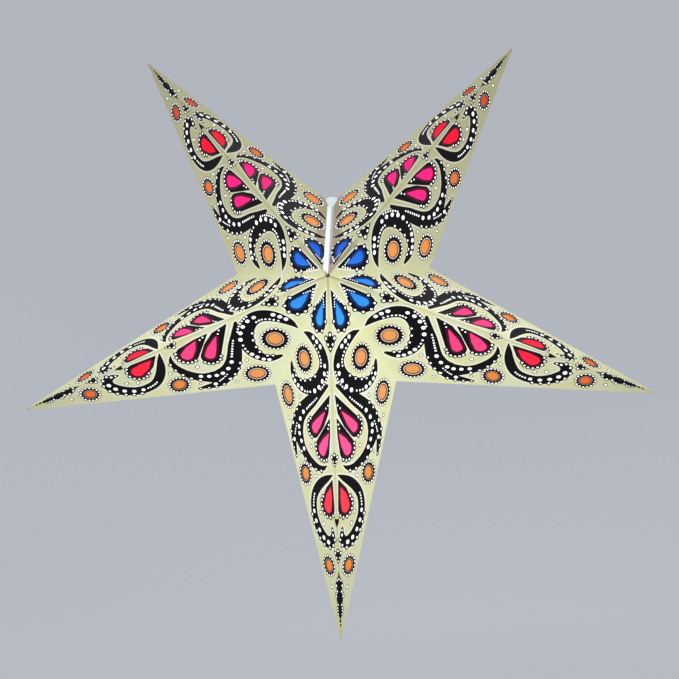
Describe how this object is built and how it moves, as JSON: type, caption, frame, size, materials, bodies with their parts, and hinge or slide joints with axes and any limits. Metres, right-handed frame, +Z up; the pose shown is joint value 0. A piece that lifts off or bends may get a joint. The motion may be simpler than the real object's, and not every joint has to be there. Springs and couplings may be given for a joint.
{
  "type": "paper star lantern",
  "caption": "Folding five-pointed paper star lantern with printed panels, tissue windows, a closing seam and a lampholder with a globe bulb inside.",
  "frame": {"origin": "mouth of the cord inlet at the top of the lampholder, where the lantern hangs", "axes": "+Z up along the cord inlet, +X to the right across the star, -Y to the front of the star"},
  "size_m": [0.5964, 0.2082, 0.5672],
  "materials": {
    "printed_paper": "matte handmade paper, printed",
    "window_tissue": "coloured tissue",
    "white_paper": "matte, unprinted",
    "clear_tape": "glossy clear tape",
    "pale_plastic": "satin",
    "white_plastic": "satin moulded",
    "brass_sheet": "bright pressed",
    "nickel_shell": "rolled",
    "solder": "dull",
    "opal_glass": "opal, lit"
  },
  "bodies": {
    "upper_right_front_left": {"upper_right_front_left_panel": "printed_paper", "upper_right_front_left_tissue": "window_tissue", "front_closing_strip": "white_paper", "front_seam_lining_right": "white_paper"},
    "upper_right_back_left": {"upper_right_back_left_panel": "printed_paper", "upper_right_back_left_tissue": "window_tissue", "back_closing_strip": "white_paper", "back_seam_lining_right": "white_paper"},
    "upper_right_front_right": {"upper_right_front_right_panel": "printed_paper", "upper_right_front_right_tissue": "window_tissue"},
    "upper_right_back_right": {"upper_right_back_right_panel": "printed_paper", "upper_right_back_right_tissue": "window_tissue"},
    "right_front_left": {"right_front_left_panel": "printed_paper", "right_front_left_tissue": "window_tissue"},
    "right_back_left": {"right_back_left_panel": "printed_paper", "right_back_left_tissue": "window_tissue"},
    "right_front_right": {"right_front_right_panel": "printed_paper", "right_front_right_tissue": "window_tissue"},
    "right_back_right": {"right_back_right_panel": "printed_paper", "right_back_right_tissue": "window_tissue"},
    "bottom_front_left": {"bottom_front_left_panel": "printed_paper", "bottom_front_left_tissue": "window_tissue"},
    "bottom_back_left": {"bottom_back_left_panel": "printed_paper", "bottom_back_left_tissue": "window_tissue"},
    "bottom_front_right": {"bottom_front_right_panel": "printed_paper", "bottom_front_right_tissue": "window_tissue"},
    "bottom_back_right": {"bottom_back_right_panel": "printed_paper", "bottom_back_right_tissue": "window_tissue"},
    "left_front_left": {"left_front_left_panel": "printed_paper", "left_front_left_tissue": "window_tissue"},
    "left_back_left": {"left_back_left_panel": "printed_paper", "left_back_left_tissue": "window_tissue"},
    "left_front_right": {"left_front_right_panel": "printed_paper", "left_front_right_tissue": "window_tissue"},
    "left_back_right": {"left_back_right_panel": "printed_paper", "left_back_right_tissue": "window_tissue"},
    "upper_left_front_left": {"upper_left_front_left_panel": "printed_paper", "upper_left_front_left_tissue": "window_tissue"},
    "upper_left_back_left": {"upper_left_back_left_panel": "printed_paper", "upper_left_back_left_tissue": "window_tissue"},
    "upper_left_front_right": {"upper_left_front_right_panel": "printed_paper", "upper_left_front_right_tissue": "window_tissue", "front_seam_lining_left": "white_paper", "edge_tape_tab": "clear_tape"},
    "upper_left_back_right": {"upper_left_back_right_panel": "printed_paper", "upper_left_back_right_tissue": "window_tissue", "back_seam_lining_left": "white_paper"},
    "lamp": {"lamp_cord_grip": "pale_plastic", "lamp_holder_cap": "white_plastic", "lamp_holder_body": "white_plastic", "lamp_socket_sleeve": "brass_sheet", "lamp_centre_contact": "brass_sheet", "bulb_screw_cap": "nickel_shell", "bulb_tip_contact": "solder", "bulb_collar": "white_plastic", "bulb_globe": "opal_glass"}
  },
  "joints": [
    {"name": "upper_right_ridge_fold", "type": "hinge", "parent": "upper_right_front_left", "child": "upper_right_front_right", "pos_m": [-0.0002, -0.10399, -0.10377], "axis": [0.5576, 0.3162, 0.7675], "range_deg": [0, 73.75]},
    {"name": "upper_right_to_right_valley_fold", "type": "hinge", "parent": "upper_right_front_right", "child": "right_front_left", "pos_m": [0.00033, -0.10532, -0.10339], "axis": [-0.6475, -0.7324, -0.2104], "range_deg": [0, 113.43]},
    {"name": "right_ridge_fold", "type": "hinge", "parent": "right_front_left", "child": "right_front_right", "pos_m": [-0.00032, -0.10399, -0.1034], "axis": [0.9023, 0.3162, -0.2932], "range_deg": [0, 73.75]},
    {"name": "right_to_bottom_valley_fold", "type": "hinge", "parent": "right_front_right", "child": "bottom_front_left", "pos_m": [0.0002, -0.10532, -0.10378], "axis": [-0.4002, -0.7324, 0.5508], "range_deg": [0, 113.43]},
    {"name": "bottom_ridge_fold", "type": "hinge", "parent": "bottom_front_left", "child": "bottom_front_right", "pos_m": [0, -0.10399, -0.10316], "axis": [0, 0.3162, -0.9487], "range_deg": [0, 73.75]},
    {"name": "bottom_to_left_valley_fold", "type": "hinge", "parent": "bottom_front_right", "child": "left_front_left", "pos_m": [-0.0002, -0.10532, -0.10378], "axis": [0.4002, -0.7324, 0.5508], "range_deg": [0, 113.43]},
    {"name": "left_ridge_fold", "type": "hinge", "parent": "left_front_left", "child": "left_front_right", "pos_m": [0.00032, -0.10399, -0.1034], "axis": [-0.9023, 0.3162, -0.2932], "range_deg": [0, 73.75]},
    {"name": "left_to_upper_left_valley_fold", "type": "hinge", "parent": "left_front_right", "child": "upper_left_front_left", "pos_m": [-0.00033, -0.10532, -0.10339], "axis": [0.6475, -0.7324, -0.2104], "range_deg": [0, 113.43]},
    {"name": "upper_left_ridge_fold", "type": "hinge", "parent": "upper_left_front_left", "child": "upper_left_front_right", "pos_m": [0.0002, -0.10399, -0.10377], "axis": [-0.5576, 0.3162, 0.7675], "range_deg": [0, 73.75]},
    {"name": "upper_right_left_side_fold", "type": "hinge", "parent": "upper_right_front_left", "child": "upper_right_back_left", "pos_m": [0.09238, 0, 0.07295], "axis": [0.7622, 0, 0.6473], "range_deg": [0, 69.4]},
    {"name": "upper_right_right_side_fold", "type": "hinge", "parent": "upper_right_front_right", "child": "upper_right_back_right", "pos_m": [0.13927, 0, 0.03888], "axis": [-0.3801, 0, -0.9249], "range_deg": [0, 69.4]},
    {"name": "right_left_side_fold", "type": "hinge", "parent": "right_front_left", "child": "right_back_left", "pos_m": [0.19636, 0, -0.13683], "axis": [0.8512, 0, -0.5249], "range_deg": [0, 69.4]},
    {"name": "right_right_side_fold", "type": "hinge", "parent": "right_front_right", "child": "right_back_right", "pos_m": [0.17845, 0, -0.19196], "axis": [-0.9971, 0, 0.0757], "range_deg": [0, 69.4]},
    {"name": "bottom_left_side_fold", "type": "hinge", "parent": "bottom_front_left", "child": "bottom_back_left", "pos_m": [0.02898, 0, -0.30055], "axis": [-0.2362, 0, -0.9717], "range_deg": [0, 69.4]},
    {"name": "bottom_right_side_fold", "type": "hinge", "parent": "bottom_front_right", "child": "bottom_back_right", "pos_m": [-0.02898, 0, -0.30055], "axis": [-0.2362, 0, 0.9717], "range_deg": [0, 69.4]},
    {"name": "left_left_side_fold", "type": "hinge", "parent": "left_front_left", "child": "left_back_left", "pos_m": [-0.17845, 0, -0.19196], "axis": [-0.9971, 0, -0.0757], "range_deg": [0, 69.4]},
    {"name": "left_right_side_fold", "type": "hinge", "parent": "left_front_right", "child": "left_back_right", "pos_m": [-0.19636, 0, -0.13683], "axis": [0.8512, 0, 0.5249], "range_deg": [0, 69.4]},
    {"name": "upper_left_left_side_fold", "type": "hinge", "parent": "upper_left_front_left", "child": "upper_left_back_left", "pos_m": [-0.13927, 0, 0.03888], "axis": [-0.3801, 0, 0.9249], "range_deg": [0, 69.4]},
    {"name": "upper_left_right_side_fold", "type": "hinge", "parent": "upper_left_front_right", "child": "upper_left_back_right", "pos_m": [-0.09238, 0, 0.07295], "axis": [0.7622, 0, -0.6473], "range_deg": [0, 69.4]},
    {"name": "lamp_draws_out", "type": "slide", "parent": "upper_right_front_left", "child": "lamp", "axis": [-1, 0, 0], "range_m": [0, 0.17001]}
  ],
  "couplings": [
    {"joint": "upper_right_to_right_valley_fold", "follows": "upper_right_ridge_fold", "ratio": 1.5381},
    {"joint": "right_ridge_fold", "follows": "upper_right_ridge_fold", "ratio": 1},
    {"joint": "right_to_bottom_valley_fold", "follows": "upper_right_ridge_fold", "ratio": 1.5381},
    {"joint": "bottom_ridge_fold", "follows": "upper_right_ridge_fold", "ratio": 1},
    {"joint": "bottom_to_left_valley_fold", "follows": "upper_right_ridge_fold", "ratio": 1.5381},
    {"joint": "left_ridge_fold", "follows": "upper_right_ridge_fold", "ratio": 1},
    {"joint": "left_to_upper_left_valley_fold", "follows": "upper_right_ridge_fold", "ratio": 1.5381},
    {"joint": "upper_left_ridge_fold", "follows": "upper_right_ridge_fold", "ratio": 1},
    {"joint": "upper_right_left_side_fold", "follows": "upper_right_ridge_fold", "ratio": 0.94103},
    {"joint": "upper_right_right_side_fold", "follows": "upper_right_ridge_fold", "ratio": 0.94103},
    {"joint": "right_left_side_fold", "follows": "upper_right_ridge_fold", "ratio": 0.94103},
    {"joint": "right_right_side_fold", "follows": "upper_right_ridge_fold", "ratio": 0.94103},
    {"joint": "bottom_left_side_fold", "follows": "upper_right_ridge_fold", "ratio": 0.94103},
    {"joint": "bottom_right_side_fold", "follows": "upper_right_ridge_fold", "ratio": 0.94103},
    {"joint": "left_left_side_fold", "follows": "upper_right_ridge_fold", "ratio": 0.94103},
    {"joint": "left_right_side_fold", "follows": "upper_right_ridge_fold", "ratio": 0.94103},
    {"joint": "upper_left_left_side_fold", "follows": "upper_right_ridge_fold", "ratio": 0.94103},
    {"joint": "upper_left_right_side_fold", "follows": "upper_right_ridge_fold", "ratio": 0.94103},
    {"joint": "lamp_draws_out", "follows": "upper_right_ridge_fold", "m_per_rad": 0.13208}
  ]
}
